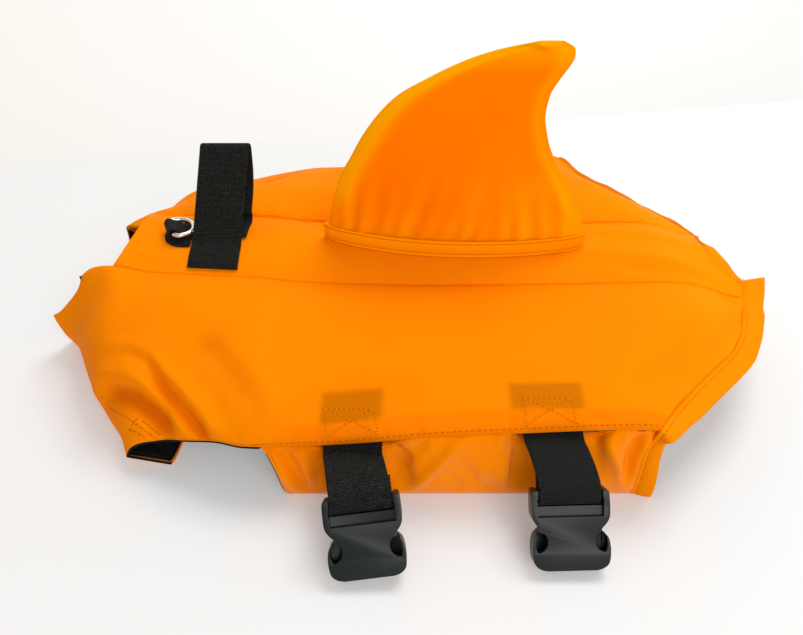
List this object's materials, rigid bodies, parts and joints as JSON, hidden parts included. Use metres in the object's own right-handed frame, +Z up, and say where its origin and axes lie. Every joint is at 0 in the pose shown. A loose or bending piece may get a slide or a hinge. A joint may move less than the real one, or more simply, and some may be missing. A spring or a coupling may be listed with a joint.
{
  "type": "dog life jacket",
  "caption": "Foam-filled orange dog life jacket with a stuffed shark fin, a grab handle, a leash ring and undone side-release buckles, lying on its belly flaps",
  "frame": {"origin": "bottom centre of the whole part's box: on the surface that the belly flaps lie on, midway between the neck and the tail, and between the buckles' outer ends", "axes": "+X from the dog's neck to its tail, +Y from the dog's left to its right, +Z up"},
  "size_m": [0.4449, 0.3907, 0.183],
  "materials": {
    "shell": "matt woven nylon, orange",
    "satin": "thin satin-weave nylon, orange",
    "fin": "brushed woven polyester, deep orange",
    "lining": "black mesh lining",
    "webbing": "ribbed black webbing",
    "buckle": "satin moulded acetal, black",
    "ring": "bright nickel plate"
  },
  "bodies": {
    "jacket": {"back_panel": "shell", "side_panel_left": "shell", "side_panel_right": "shell", "chest_band_left": "shell", "chest_band_right": "shell", "belly_flap_left": "satin", "belly_flap_right": "satin", "lining_back": "lining", "lining_left": "lining", "lining_right": "lining", "lining_chest_left": "lining", "lining_chest_right": "lining", "tail_binding_back": "shell", "tail_binding_left": "shell", "tail_binding_right": "shell", "belly_binding_left": "shell", "belly_binding_right": "shell", "fin_left": "fin", "fin_right": "fin", "fin_base_strip": "fin", "handle": "webbing", "dring_tab": "webbing", "dring_patch": "webbing", "strap_left_front": "webbing", "strap_left_rear": "webbing", "strap_right_front": "webbing", "strap_right_rear": "webbing", "buckle_female_front": "buckle", "buckle_male_front": "buckle", "buckle_female_rear": "buckle", "buckle_male_rear": "buckle"},
    "dring": {"dring": "ring"}
  },
  "joints": [
    {"name": "dring_swing", "type": "hinge", "parent": "jacket", "child": "dring", "pos_m": [-0.1457, -0.0061, 0.07459], "axis": [0.4219, -0.9047, -0.0598], "range_deg": [0, 160]}
  ]
}
